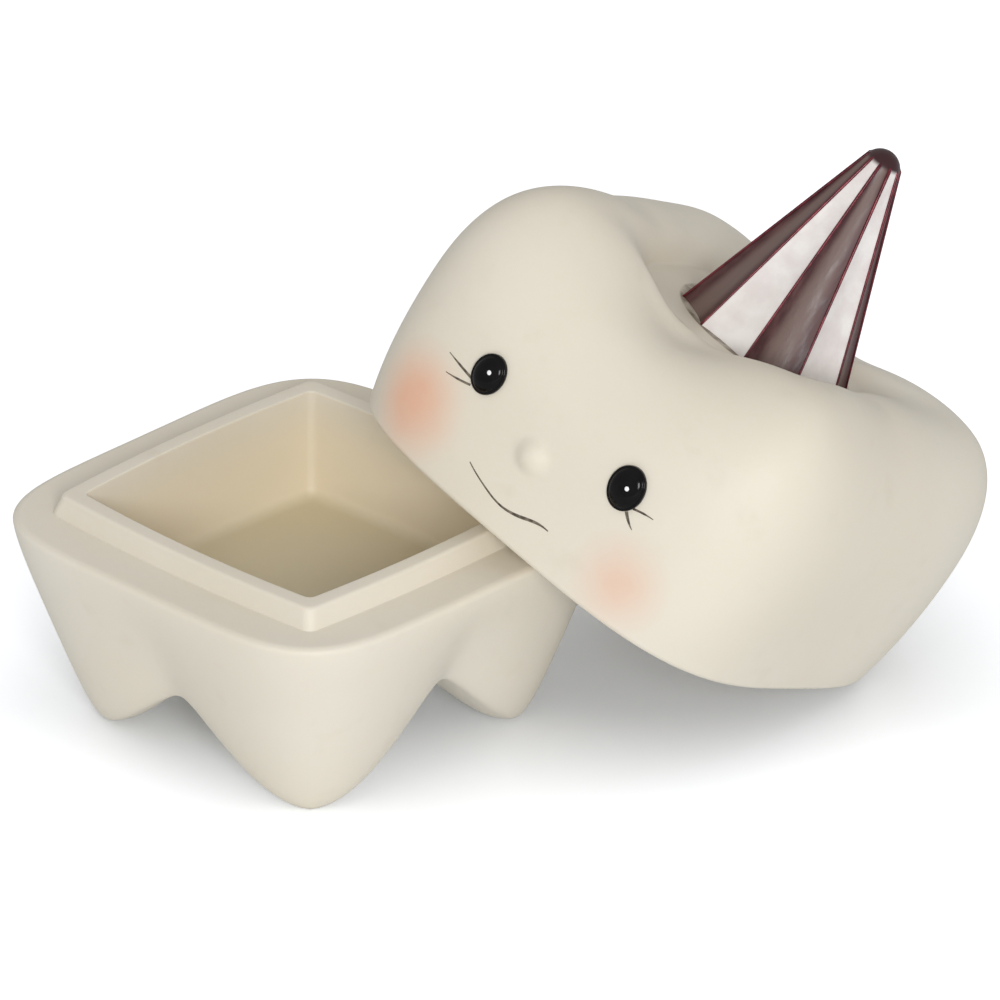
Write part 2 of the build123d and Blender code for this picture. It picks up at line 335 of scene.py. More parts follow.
def tray_rings():
    """Rings from the middle of the cavity's floor, over the collar and down to the vault."""
    offset = TOE_REACH * np.minimum(np.abs(np.cos(angles)), np.abs(np.sin(angles)))
    toe_level = foot_level(TOE_REACH * cos(pi / 4))
    blend = (foot_level(0) - foot_level(offset)) / (foot_level(0) - toe_level)
    # The arch on the side of +X is a little higher than the others
    blend = blend - ARCH_UNEVENNESS * (1 - blend) * np.clip(np.cos(angles), 0, 1)
    quarter = np.linspace(0, pi / 2, 9)
    rings = []
    for share in (0.25, 0.5, 0.75, 0.95):
        half_width = (CAVITY_HALF_WIDTH - CAVITY_FLOOR_RADIUS) * share
        rings.append((bowed_square(half_width, CAVITY_CORNER_RADIUS * share, angles), CAVITY_FLOOR))
    for turn in quarter:
        inward = CAVITY_FLOOR_RADIUS * (1 - sin(turn))
        reach = bowed_square(CAVITY_HALF_WIDTH - inward, CAVITY_CORNER_RADIUS, angles)
        rings.append((reach, CAVITY_FLOOR + CAVITY_FLOOR_RADIUS * (1 - cos(turn))))
    wall = bowed_square(CAVITY_HALF_WIDTH, CAVITY_CORNER_RADIUS, angles)
    mouth = CAVITY_MOUTH_RADIUS
    for level in np.linspace(CAVITY_FLOOR + CAVITY_FLOOR_RADIUS, COLLAR_TOP - mouth, 8)[1:]:
        rings.append((wall, level))
    for turn in quarter[1:]:
        rings.append((wall + mouth * (1 - cos(turn)), COLLAR_TOP - mouth * (1 - sin(turn))))
    top_half_width = COLLAR_HALF_WIDTH - COLLAR_DRAFT
    for turn in quarter:
        inward = COLLAR_EDGE_RADIUS * (1 - sin(turn))
        reach = bowed_square(top_half_width - inward, COLLAR_CORNER_RADIUS, angles)
        rings.append((reach, COLLAR_TOP - COLLAR_EDGE_RADIUS * (1 - cos(turn))))
    for share in (0.3, 0.6, 0.9, 0.98):
        reach = bowed_square(top_half_width + COLLAR_DRAFT * share, COLLAR_CORNER_RADIUS, angles)
        level = COLLAR_TOP - COLLAR_EDGE_RADIUS
        rings.append((reach, level + (RIM_HEIGHT - level) * share))
    foot = bowed_square(COLLAR_HALF_WIDTH, COLLAR_CORNER_RADIUS, angles)
    rim = soft_square(RIM_HALF_WIDTH, RIM_CORNER_REACH, angles) - RIM_EDGE_RADIUS
    for share in (0.0, 0.03, 0.3, 0.6, 0.95):
        rings.append((foot + (rim - foot) * share, RIM_HEIGHT))
    # Rings are closer together at the rim's rounded edge
    shares = np.concatenate((np.linspace(0, 0.08, 12), np.linspace(0.08, 1, 60)[1:]))
    outer_side = skin_profile(RIM_HALF_WIDTH, ARCH_LIP_REACH, ARCH_HEIGHT)
    outer_corner = skin_profile(RIM_CORNER_REACH, TOE_REACH, -FOOT_TRIM)
    side = evenly(lambda t: bezier(outer_side, t), shares)
    corner = evenly(lambda t: bezier(outer_corner, t), shares)
    round_level = RIM_HEIGHT - RIM_EDGE_RADIUS
    for reach, level in lofted(side, corner, angles, blend):
        lift = np.clip((level - round_level) / RIM_EDGE_RADIUS, 0, 1)
        inward = 1 - (1 - lift**RIM_SQUARENESS) ** (1 / RIM_SQUARENESS)
        reach = reach - RIM_EDGE_RADIUS * inward
        rings.append((reach, np.maximum(level, 0)))
    under_side = [
        (ARCH_LIP_REACH, ARCH_HEIGHT),
        (ARCH_LIP_REACH * HEEL_BEND_SHARE, ARCH_HEIGHT),
        (ARCH_LIP_REACH / 2, VAULT_HEIGHT),
        (VAULT_HALF_WIDTH, VAULT_HEIGHT),
    ]
    under_corner = [
        (TOE_REACH, -FOOT_TRIM),
        (HEEL_REACH, -FOOT_TRIM),
        (HEEL_REACH * HEEL_BEND_SHARE, -FOOT_TRIM),
        (HEEL_REACH / 2, VAULT_HEIGHT),
        (VAULT_HALF_WIDTH, VAULT_HEIGHT),
    ]
    shares = np.linspace(0, 1, 48)[1:]
    side = evenly(lambda t: bezier(under_side, t), shares)
    corner = evenly(lambda t: bezier(under_corner, t), shares)
    wave = (1 - np.cos(4 * angles)) / 2
    vault_blend = blend + (wave - blend) * np.sin(pi / 2 * shares)[:, None]
    for reach, level in lofted(side, corner, angles, vault_blend):
        rings.append((reach, np.maximum(level, 0)))
    return rings


tray_place = Matrix.Translation(TRAY_CENTRE * MM)
tray_skin = seat(grid_mesh("tray_skin", tray_rings(), angles), tray_place)

# Lid
lean = (
    Matrix.Rotation(radians(LEAN_HEADING), 4, "Z")
    @ Matrix.Rotation(radians(LEAN_TILT), 4, "Y")
    @ Matrix.Rotation(radians(LID_TURN - LEAN_HEADING), 4, "Z")
)
lid_place = Matrix.Translation((TRAY_CENTRE + LID_FROM_TRAY) * MM) @ lean


def crown_profile(base_reach, swell, top, basin_reach):
    """Half section of the lid's outside, over a corner or over the middle of a side."""
    return [
        (base_reach, 0),
        (base_reach + swell * CHEEK_SWELL_SHARE, SWELL_LEVEL * CHEEK_LEVEL_SHARE),
        (base_reach + swell, SWELL_LEVEL),
        (base_reach, top - BROW_DROP),
        (base_reach * BROW_REACH_SHARE, top),
        (base_reach * TOP_REACH_SHARE, top),
        (basin_reach, BASIN_HEIGHT),
    ]


def crown_blend(turned):
    """Height of the crown round the axis, as a share from the front middle to the front lobes."""
    off_front = np.degrees(np.abs((turned + pi / 2 + pi) % (2 * pi) - pi))
    headings = np.array([0, FRONT_LOBE_HEADING, SADDLE_HEADING, BACK_LOBE_HEADING, 180.0])
    heights = np.array([
        FRONT_MIDDLE_HEIGHT, FRONT_LOBE_HEIGHT, SADDLE_HEIGHT, BACK_LOBE_HEIGHT, BACK_MIDDLE_HEIGHT
    ])
    shares = (heights - LOW_SECTION_TOP) / (FRONT_LOBE_HEIGHT - LOW_SECTION_TOP)
    span = np.clip(np.searchsorted(headings, off_front, side="right") - 1, 0, 3)
    part = (off_front - headings[span]) / (headings[span + 1] - headings[span])
    return shares[span] + (shares[span + 1] - shares[span]) * (1 - np.cos(pi * part)) / 2


def lid_rings():
    """Rings from the middle of the hollow's roof, round the lip and up to the basin."""
    quarter = np.linspace(0, pi / 2, 9)
    rings = []
    for share in (0.3, 0.6, 0.95):
        half_width = (HOLLOW_HALF_WIDTH - HOLLOW_ROOF_RADIUS) * share
        rings.append((bowed_square(half_width, HOLLOW_CORNER_RADIUS * share, angles), HOLLOW_DEPTH))
    for turn in quarter:
        inward = HOLLOW_ROOF_RADIUS * (1 - sin(turn))
        reach = bowed_square(HOLLOW_HALF_WIDTH - inward, HOLLOW_CORNER_RADIUS, angles)
        rings.append((reach, HOLLOW_DEPTH - HOLLOW_ROOF_RADIUS * (1 - cos(turn))))
    wall = bowed_square(HOLLOW_HALF_WIDTH, HOLLOW_CORNER_RADIUS, angles)
    mouth = CAVITY_MOUTH_RADIUS
    for level in np.linspace(HOLLOW_DEPTH - HOLLOW_ROOF_RADIUS, mouth, 8)[1:]:
        rings.append((wall, level))
    for turn in quarter[1:]:
        rings.append((wall + mouth * (1 - cos(turn)), mouth * (1 - sin(turn))))
    lip = soft_square(LID_HALF_WIDTH, LID_CORNER_REACH, angles) - LID_EDGE_RADIUS
    for share in (0.05, 0.5, 0.95):
        rings.append((wall + mouth + (lip - wall - mouth) * share, 0))
    # Rings are closer together at the lip's rounded edge
    shares = np.concatenate((np.linspace(0, 0.02, 9), np.linspace(0.02, 1, 130)[1:]))
    side_points = crown_profile(LID_HALF_WIDTH, LID_SWELL, LOW_SECTION_TOP, BASIN_HALF_WIDTH)
    corner_points = crown_profile(
        LID_CORNER_REACH, LID_CORNER_SWELL, FRONT_LOBE_HEIGHT, BASIN_CORNER_REACH
    )
    side = evenly(lambda t: cubic_through(side_points, t), shares)
    corner = evenly(lambda t: cubic_through(corner_points, t), shares)
    for reach, level in lofted(side, corner, angles, crown_blend(angles)):
        drop = np.clip((LID_EDGE_RADIUS - level) / LID_EDGE_RADIUS, 0, 1)
        rings.append((reach - LID_EDGE_RADIUS * (1 - np.sqrt(1 - drop**2)), level))
    basin = soft_square(BASIN_HALF_WIDTH, BASIN_CORNER_REACH, angles)
    for share in (0.97, 0.9, 0.6, 0.3):
        rings.append((basin * share, BASIN_HEIGHT))
    return rings


lid_skin = grid_mesh("lid_skin", lid_rings(), angles)


def tree_of(piece):
    """A search tree of a piece's mesh, in the piece's own frame."""
    mesh = piece.data
    points = [vertex.co.copy() for vertex in mesh.vertices]
    return BVHTree.FromPolygons(points, [tuple(face.vertices) for face in mesh.polygons])


def on_face(tree, side, level):
    """The place on the face at a distance to the side and a level, and the way out from it."""
    start = Vector((side, -2 * LID_HALF_WIDTH, level)) * MM
    place, normal, _, _ = tree.ray_cast(start, Vector((0, 1, 0)))
    return place, normal if normal.y < 0 else -normal


smooth_tree = tree_of(lid_skin)
nose_place, nose_way = on_face(smooth_tree, NOSE_TO_SIDE, NOSE_LEVEL)
nose_radius = (NOSE_WIDTH**2 / 4 + NOSE_RISE**2) / (2 * NOSE_RISE)
for vertex in lid_skin.data.vertices:
    away = (vertex.co - nose_place).length / MM
    if away < NOSE_WIDTH and vertex.co.y < 0:
        cap = sqrt(max(nose_radius**2 - away**2, 0)) - nose_radius + NOSE_RISE
        rise = (cap + hypot(cap, 2 * NOSE_SOFTNESS)) / 2
        fade = min(1, max(0, (NOSE_WIDTH - away) / (NOSE_WIDTH * NOSE_FADE_SHARE)))
        vertex.co += nose_way * rise * fade * MM
lid_tree = tree_of(lid_skin)
seat(lid_skin, lid_place)

# Camera
azimuth, elevation = radians(CAMERA_AZIMUTH), radians(CAMERA_ELEVATION)
look_back = Vector((sin(azimuth) * cos(elevation), -cos(azimuth) * cos(elevation), sin(elevation)))
camera_right = Vector((cos(azimuth), sin(azimuth), 0))
camera_up = look_back.cross(camera_right)
aim = (TRAY_CENTRE + camera_right * AIM_RIGHT + camera_up * AIM_UP) * MM
camera_data = bpy.data.cameras.new("camera")
camera = bpy.data.objects.new("camera", camera_data)
bpy.context.scene.collection.objects.link(camera)
bpy.context.scene.camera = camera
turn = Matrix((camera_right, camera_up, look_back)).transposed().to_4x4()
camera.matrix_world = Matrix.Translation(aim + look_back * CAMERA_DISTANCE * MM) @ turn
camera_data.sensor_width = SENSOR
camera_data.lens = SENSOR * CAMERA_DISTANCE * PIXELS_PER_MM / PHOTO_SIDE
camera_data.clip_end = CAMERA_SEES_TO * MM


def under_pixel(x, y):
    """The place on the lid behind a pixel of the photograph, and the way out from it."""
    across = (x - PHOTO_SIDE / 2) / PIXELS_PER_MM
    up = (PHOTO_SIDE / 2 - y) / PIXELS_PER_MM
    target = aim + (camera_right * across + camera_up * up) * MM
    start = camera.matrix_world.translation
    into_lid = lid_place.inverted()
    way = (into_lid.to_3x3() @ (target - start)).normalized()
    place, normal, _, _ = lid_tree.ray_cast(into_lid @ start, way)
    return place, normal if normal.dot(way) < 0 else -normal


# Materials


def material(name, roughness, **sockets):
    """A new material, its nodes, its links and its main shader."""
    made = bpy.data.materials.new(name)
    made.use_nodes = True
    nodes, links = made.node_tree.nodes, made.node_tree.links
    shader = nodes["Principled BSDF"]
    shader.inputs["Roughness"].default_value = roughness
    for key, value in sockets.items():
        shader.inputs[key.replace("_", " ")].default_value = value
    return made, nodes, links, shader


def object_coordinates(nodes):
    """The shaded point in the piece's own frame."""
    return nodes.new("ShaderNodeTexCoord").outputs["Object"]


def mapped(nodes, links, value, low, high, to_low=0.0, to_high=1.0):
    """A value mapped smoothly from one range to another."""
    node = nodes.new("ShaderNodeMapRange")
    node.interpolation_type = "SMOOTHSTEP"
    node.inputs["From Min"].default_value = low
    node.inputs["From Max"].default_value = high
    node.inputs["To Min"].default_value = to_low
    node.inputs["To Max"].default_value = to_high
    links.new(value, node.inputs["Value"])
    return node.outputs["Result"]


def noise(nodes, links, coordinates, scale, detail=3.0):
    """A noise value from 0 to 1."""
    node = nodes.new("ShaderNodeTexNoise")
    node.inputs["Scale"].default_value = scale
    node.inputs["Detail"].default_value = detail
    links.new(coordinates, node.inputs["Vector"])
    return node.outputs["Fac"]


def mixed(nodes, links, factor, first, second):
    """A colour mixed by a factor's socket from two, each a colour or a socket."""
    node = nodes.new("ShaderNodeMix")
    node.data_type = "RGBA"
    colour_inputs = [socket for socket in node.inputs if socket.type == "RGBA"]
    links.new(factor, node.inputs["Factor"])
    for socket, colour in zip(colour_inputs, (first, second)):
        if isinstance(colour, tuple):
            socket.default_value = (*colour, 1)
        else:
            links.new(colour, socket)
    return [socket for socket in node.outputs if socket.type == "RGBA"][0]


def calculated(nodes, links, operation, first, second=None):
    """The result of a sum on one or two values."""
    node = nodes.new("ShaderNodeMath")
    node.operation = operation
    for socket, value in zip(node.inputs, (first, second)):
        if isinstance(value, (int, float)):
            socket.default_value = value
        elif value is not None:
            links.new(value, socket)
    return node.outputs[0]


def distance_to(nodes, links, coordinates, place):
    """The distance from the shaded point to a place, in metres."""
    node = nodes.new("ShaderNodeVectorMath")
    node.operation = "DISTANCE"
    links.new(coordinates, node.inputs[0])
    node.inputs[1].default_value = place
    return node.outputs["Value"]


def bumped(nodes, links, shader, height, distance):
    """A bump on a shader from a height."""
    node = nodes.new("ShaderNodeBump")
    node.inputs["Distance"].default_value = distance
    links.new(height, node.inputs["Height"])
    links.new(node.outputs["Normal"], shader.inputs["Normal"])


def speckled(name, roughness, colours, scale, detail, span, **sockets):
    """A paint that varies a little between two colours, over a span of a noise's values."""
    made, nodes, links, shader = material(name, roughness, **sockets)
    tone = noise(nodes, links, object_coordinates(nodes), scale, detail)
    tone = mapped(nodes, links, tone, *span)
    links.new(mixed(nodes, links, tone, *colours), shader.inputs["Base Color"])
    return made


# Colours are linear red, green and blue; noise scales are in waves a metre
CREAM = (0.745, 0.685, 0.570)
CREAM_DEEP = (0.680, 0.610, 0.490)
CREAM_PALE = (0.765, 0.712, 0.610)
PEACH = (0.780, 0.420, 0.270)
SKIN_DEPTHS = Vector((4, 3, 2))
SKIN_SHARE = 0.12
SKIN_SCALE = 0.4
CLOUD_SCALE = 28
MOTTLE_SCALE = 160
GRAIN_SCALE = 900
GRAIN_DEPTH = 0.03
WEAR_SCALE = 90


def resin(name):
    """Matte cast resin with a faint mottle and the finest grain."""
    made, nodes, links, shader = material(name, 0.55, Specular_IOR_Level=0.35)
    shader.inputs["Subsurface Weight"].default_value = SKIN_SHARE
    shader.inputs["Subsurface Radius"].default_value = SKIN_DEPTHS * MM
    shader.inputs["Subsurface Scale"].default_value = SKIN_SCALE
    place = object_coordinates(nodes)
    broad = mapped(nodes, links, noise(nodes, links, place, CLOUD_SCALE), 0.35, 0.7)
    colour = mixed(nodes, links, broad, CREAM, CREAM_PALE)
    fine = mapped(nodes, links, noise(nodes, links, place, MOTTLE_SCALE, 5.0), 0.58, 0.8, 0.0, 0.35)
    colour = mixed(nodes, links, fine, colour, CREAM_DEEP)
    grain = noise(nodes, links, place, GRAIN_SCALE, 4.0)
    bumped(nodes, links, shader, grain, GRAIN_DEPTH * MM)
    rough = mapped(nodes, links, noise(nodes, links, place, WEAR_SCALE), 0.3, 0.7, 0.48, 0.62)
    links.new(rough, shader.inputs["Roughness"])
    return made, nodes, links, shader, place, colour


# Tray's cavity has painted light: warm bounce light painted on its walls and painted shade on its
# floor
CAVITY_WALL_BOUNCE_LIGHT = (0.790, 0.705, 0.548)
CAVITY_FLOOR_SHADE = (0.640, 0.565, 0.400)
tray_resin, nodes, links, shader, place, colour = resin("tray_resin")
from_tray = nodes.new("ShaderNodeMapping")
from_tray.inputs["Location"].default_value = -TRAY_CENTRE * MM
links.new(place, from_tray.inputs["Vector"])
split = nodes.new("ShaderNodeSeparateXYZ")
links.new(from_tray.outputs["Vector"], split.inputs[0])
across = calculated(nodes, links, "ABSOLUTE", split.outputs["X"])
along = calculated(nodes, links, "ABSOLUTE", split.outputs["Y"])
off_middle = calculated(nodes, links, "MAXIMUM", across, along)
wall = CAVITY_HALF_WIDTH + SIDE_BOW
within = mapped(nodes, links, off_middle, wall * MM, (wall + CAVITY_MOUTH_RADIUS) * MM, 1.0, 0.0)
height = split.outputs["Z"]
half_depth = COLLAR_TOP - CAVITY_DEPTH / 2
below = mapped(nodes, links, height, half_depth * MM, COLLAR_TOP * MM, 1.0, 0.0)
above = calculated(nodes, links, "GREATER_THAN", height, (CAVITY_FLOOR - CAVITY_FLOOR_RADIUS) * MM)
inside = calculated(nodes, links, "MULTIPLY", within, below)
inside = calculated(nodes, links, "MULTIPLY", inside, above)
low = mapped(nodes, links, height, CAVITY_FLOOR * MM, (CAVITY_FLOOR + CAVITY_FLOOR_RADIUS) * MM)
# Painted warm bounce light on the cavity's walls, turning to painted shade on its floor
cavity_light_and_shade = mixed(nodes, links, low, CAVITY_FLOOR_SHADE, CAVITY_WALL_BOUNCE_LIGHT)
colour = mixed(nodes, links, inside, colour, cavity_light_and_shade)
links.new(colour, shader.inputs["Base Color"])
tray_skin.data.materials.append(tray_resin)

# Hat's place: its base is sunk in the basin, a little off the lid's middle
hat_place = lid_place @ Matrix.Translation(
    Vector((HAT_TO_SIDE, HAT_TO_BACK, BASIN_HEIGHT - HAT_SEAT_DEPTH)) * MM
)
into_hat = hat_place.inverted()


def hat_coordinates(nodes, links):
    """The shaded point in the hat's own upright frame."""
    upright = nodes.new("ShaderNodeMapping")
    upright.inputs["Location"].default_value = into_hat.to_translation()
    upright.inputs["Rotation"].default_value = into_hat.to_euler()
    links.new(object_coordinates(nodes), upright.inputs["Vector"])
    return upright.outputs["Vector"]


# Lid's paint: two blushed cheeks, painted shade in the basin round the hat and a brown wash in the
# crease round the hat
LEFT_CHEEK_PIXEL = (414, 400)
RIGHT_CHEEK_PIXEL = (618, 584)
LEFT_CHEEK_RADIUS = 10.5
RIGHT_CHEEK_RADIUS = 9.0
LEFT_BLUSH = 0.94
RIGHT_BLUSH = 0.5
WASH = (0.16, 0.115, 0.075)
WASH_WIDTH = 0.5
WASH_LEVEL = 1.5
WASH_FADE = 1.0
WASH_STRENGTH = 0.9
# Painted shade in the basin, darker towards the hat's base
BASIN_PAINTED_SHADE = (0.560, 0.500, 0.400)
BASIN_SHADE_WIDTH = 11.0
BASIN_SHADE_HEIGHT = 6
BASIN_SHADE_STRENGTH = 0.5
lid_resin, nodes, links, shader, place, colour = resin("lid_resin")
for pixel, radius, strength in (
    (LEFT_CHEEK_PIXEL, LEFT_CHEEK_RADIUS, LEFT_BLUSH),
    (RIGHT_CHEEK_PIXEL, RIGHT_CHEEK_RADIUS, RIGHT_BLUSH),
):
    middle, _ = under_pixel(*pixel)
    near = distance_to(nodes, links, place, lid_place @ middle)
    blush = mapped(nodes, links, near, 0, radius * MM, strength, 0.0)
    cloud = mapped(nodes, links, noise(nodes, links, place, 220, 4.0), 0.3, 0.7, 0.85, 1.0)
    blush = calculated(nodes, links, "MULTIPLY", blush, cloud)
    colour = mixed(nodes, links, blush, colour, PEACH)
split = nodes.new("ShaderNodeSeparateXYZ")
links.new(hat_coordinates(nodes, links), split.inputs[0])
flat = nodes.new("ShaderNodeCombineXYZ")
links.new(split.outputs["X"], flat.inputs["X"])
links.new(split.outputs["Y"], flat.inputs["Y"])
from_axis = distance_to(nodes, links, flat.outputs[0], (0, 0, 0))
# Painted shade: the basin darkens towards the hat's base, low down only
basin_shade_end = (HAT_RADIUS + BASIN_SHADE_WIDTH) * MM
basin_shade = mapped(nodes, links, from_axis, HAT_RADIUS * MM, basin_shade_end, BASIN_SHADE_STRENGTH, 0.0)
shallow = mapped(nodes, links, split.outputs["Z"], 0, BASIN_SHADE_HEIGHT * MM, 1.0, 0.0)
basin_shade = calculated(nodes, links, "MULTIPLY", basin_shade, shallow)
colour = mixed(nodes, links, basin_shade, colour, BASIN_PAINTED_SHADE)
wash_end = (HAT_RADIUS + WASH_WIDTH) * MM
washed = mapped(nodes, links, from_axis, HAT_RADIUS * MM, wash_end, WASH_STRENGTH, 0.0)
patchy = mapped(nodes, links, noise(nodes, links, place, 380, 3.0), 0.35, 0.6, 0.35, 1.0)
washed = calculated(nodes, links, "MULTIPLY", washed, patchy)
fade_end = (WASH_LEVEL + WASH_FADE) * MM
low = mapped(nodes, links, split.outputs["Z"], WASH_LEVEL * MM, fade_end, 1.0, 0.0)
washed = calculated(nodes, links, "MULTIPLY", washed, low)
colour = mixed(nodes, links, washed, colour, WASH)
links.new(colour, shader.inputs["Base Color"])
lid_skin.data.materials.append(lid_resin)

# Paint strokes: thin raised ribbons that follow the lid's skin
STROKE_RISE = 0.05
INK = (0.060, 0.046, 0.032)
INK_WORN = (0.230, 0.190, 0.140)
ink = speckled("dark_paint", 0.5, (INK, INK_WORN), scale=1500, detail=3.0, span=(0.35, 0.75))


def paint_stroke(name, pixels, widths, count=60):
    """A ribbon of paint along pixels of the photograph, with its width at even shares."""
    path = cubic_through(pixels, np.linspace(0, 1, count))
    places = [under_pixel(x, y) for x, y in path]
    width = np.interp(np.linspace(0, 1, count), np.linspace(0, 1, len(widths)), widths)
    columns = (-1, -0.6, 0, 0.6, 1)
    rises = (-0.5, 0.7, 1, 0.7, -0.5)
    points, faces = [], []
    for i, (point, normal) in enumerate(places):
        before = places[max(i - 1, 0)][0]
        after = places[min(i + 1, count - 1)][0]
        across = normal.cross(after - before).normalized()
        for column, rise in zip(columns, rises):
            offset = across * column * width[i] / 2 + normal * rise * STROKE_RISE
            points.append(point + offset * MM)
    step = len(columns)
    for i in range(count - 1):
        for j in range(step - 1):
            first = i * step + j
            faces.append((first, first + 1, first + step + 1, first + step))
    mesh = bpy.data.meshes.new(name)
    mesh.from_pydata([tuple(point) for point in points], [], faces)
    mesh.polygons.foreach_set("use_smooth", [True] * len(mesh.polygons))
    mesh.materials.append(ink)
    piece = bpy.data.objects.new(name, mesh)
    bpy.context.scene.collection.objects.link(piece)
    return seat(piece, lid_place)


MOUTH_PIXELS = [
    (469.9, 461.8), (474.8, 471.0), (481.7, 482.1), (488.7, 492.2), (495.8, 501.0),
    (503.4, 507.9), (512.7, 513.6), (523.9, 518.3), (534.6, 522.3), (542.0, 526.4),
    (547.9, 531.4),
]
MOUTH_WIDTHS = (0.2, 0.26, 0.3, 0.34, 0.42, 0.55, 0.5, 0.2)
LASHES = (
    ("lash_left_upper", ((471.5, 378.0), (461.0, 366.0), (449.9, 352.2)), (0.5, 0.42, 0.12)),
    ("lash_left_lower", ((470.5, 385.0), (459.0, 379.5), (446.0, 371.6)), (0.42, 0.38, 0.1)),
    ("lash_right_lower", ((626.5, 511.5), (628.0, 520.0), (631.8, 530.2)), (0.66, 0.5, 0.1)),
    ("lash_right_outer", ((633.0, 508.9), (642.0, 513.0), (653.4, 520.0)), (0.4, 0.38, 0.1)),
)
strokes = [paint_stroke("mouth", MOUTH_PIXELS, MOUTH_WIDTHS, 90)]
strokes += [paint_stroke(*lash) for lash in LASHES]

# Eyes
EYE_BLACK = (0.002, 0.002, 0.002)
EYE_BLACK_PALE = (0.005, 0.004, 0.004)
DOT_GREY = (0.86, 0.86, 0.88)
DOT_WHITE = (0.95, 0.95, 0.95)
black = speckled(
    "eye_black", 0.12, (EYE_BLACK, EYE_BLACK_PALE),
    scale=500, detail=3.0, span=(0.35, 0.7), Specular_IOR_Level=0.16,
)
white = speckled(
    "dot_white", 0.4, (DOT_GREY, DOT_WHITE), scale=2500, detail=2.0, span=(0.3, 0.7)
)


def eye_matrix(side, level, tilt):
    """The place of an eye: its own Z points out of the face and its Y up."""
    place, normal = on_face(smooth_tree, side, level)
    across = (Vector((1, 0, 0)) - normal * normal.x).normalized()
    turn = Matrix((across, normal.cross(across), normal)).transposed().to_4x4()
    return lid_place @ Matrix.Translation(place) @ turn @ Matrix.Rotation(radians(tilt), 4, "Z")


def make_eye(name, place, size, tilt, dot_place):
    """A glossy oval button: a low wall, a fine lip and a dome, with a small raised white dot."""
    matrix = eye_matrix(*place, tilt)
    turns = np.arange(96) / 96 * 2 * pi
    half_width, half_height = size[0] / 2, size[1] / 2
    across, along = half_height * np.cos(turns), half_width * np.sin(turns)
    oval = half_width * half_height / np.hypot(across, along)
    rings = [(oval, -EYE_SINK), (oval, EYE_LIP_BASE)]
    for lean_angle in np.linspace(0, pi / 2, 7)[1:]:
        inward = EYE_LIP_INWARD * (1 - cos(lean_angle))
        rings.append((oval - inward, EYE_LIP_BASE + EYE_LIP_RISE * sin(lean_angle)))
    rings.append((oval - EYE_GROOVE_START, EYE_LIP_BASE + EYE_GROOVE_TOP))
    top = EYE_LIP_BASE + EYE_DOME_BASE
    for lift in np.linspace(0.1, 0.995, 26) * pi / 2:
        rings.append(((oval - EYE_DOME_START) * cos(lift), top + (EYE_RISE - top) * sin(lift)))
    eye = seat(grid_mesh(name, rings, turns), matrix)
    eye.data.materials.append(black)
    off = Vector(dot_place)
    off_share = hypot(off.x / half_width, off.y / half_height)
    level = top + (EYE_RISE - top) * sqrt(1 - off_share**2)
    dot_rings = [
        (DOT_RADIUS * cos(turn), DOT_RISE * sin(turn) - DOT_SINK)
        for turn in np.linspace(0, pi / 2 * 0.97, 8)
    ]
    spot = Matrix.Translation(Vector((off.x, off.y, level)) * MM)
    dot = seat(grid_mesh(name + "_dot", dot_rings, turns), matrix @ spot)
    dot.data.materials.append(white)
    return eye, dot


left_eye, left_dot = make_eye("left_eye_button", LEFT_EYE_PLACE, LEFT_EYE, LEFT_EYE_TILT, LEFT_DOT)
right_eye, right_dot = make_eye(
    "right_eye_button", RIGHT_EYE_PLACE, RIGHT_EYE, RIGHT_EYE_TILT, RIGHT_DOT
)

# Party hat
tip_level = HAT_HEIGHT - HAT_TIP_RADIUS
slant = atan2(HAT_RADIUS, tip_level) - atan(
    HAT_TIP_RADIUS / sqrt(HAT_RADIUS**2 + tip_level**2 - HAT_TIP_RADIUS**2)
)
shoulder_reach = HAT_TIP_RADIUS * cos(slant)
shoulder_level = tip_level + HAT_TIP_RADIUS * sin(slant)
hat_angles = np.arange(36 * HAT_STRIPES) / (36 * HAT_STRIPES) * 2 * pi


def flute_shape(turned):
    """Share of its full depth that a flute has round the axis: an arc between two ridges."""
    half_stripe = pi / HAT_STRIPES
    off_middle = turned % (2 * half_stripe) - half_stripe
    middle = HAT_RADIUS - FLUTE_DEPTH
    centre = (HAT_RADIUS**2 - middle**2) / (2 * (HAT_RADIUS * cos(half_stripe) - middle))
    bend = centre - middle
    reach = centre * np.cos(off_middle) - np.sqrt(bend**2 - (centre * np.sin(off_middle)) ** 2)
    return (HAT_RADIUS - reach) / FLUTE_DEPTH


def flute_depth(share):
    """Depth of the flutes up the hat: a smooth run through the base, the fade and the shoulder."""
    fade = FLUTE_FADE_SHARE
    at_fade = 1 + (shoulder_reach / HAT_RADIUS - 1) * fade
    from_base = (share - fade) * (share - 1) / fade
    from_fade = share * (share - 1) / (fade * (fade - 1))
    return FLUTE_DEPTH * (from_base + at_fade * from_fade)


def hat_rings():
    """Rings up the hat: each stripe is a shallow flute, which fades out at the tip."""
    shape = flute_shape(hat_angles)
    rings = [((HAT_RADIUS - FLUTE_DEPTH * shape) * share, 0) for share in (0.5, 0.95)]
    for share in np.linspace(0, 1, 90):
        reach = HAT_RADIUS + (shoulder_reach - HAT_RADIUS) * share
        rings.append((reach - flute_depth(share) * shape, shoulder_level * share))
    for turn in np.linspace(slant, pi / 2 * 0.99, 14)[1:]:
        rings.append((HAT_TIP_RADIUS * cos(turn), tip_level + HAT_TIP_RADIUS * sin(turn)))
    return rings


hat = seat(grid_mesh("hat_cone", hat_rings(), hat_angles), hat_place)

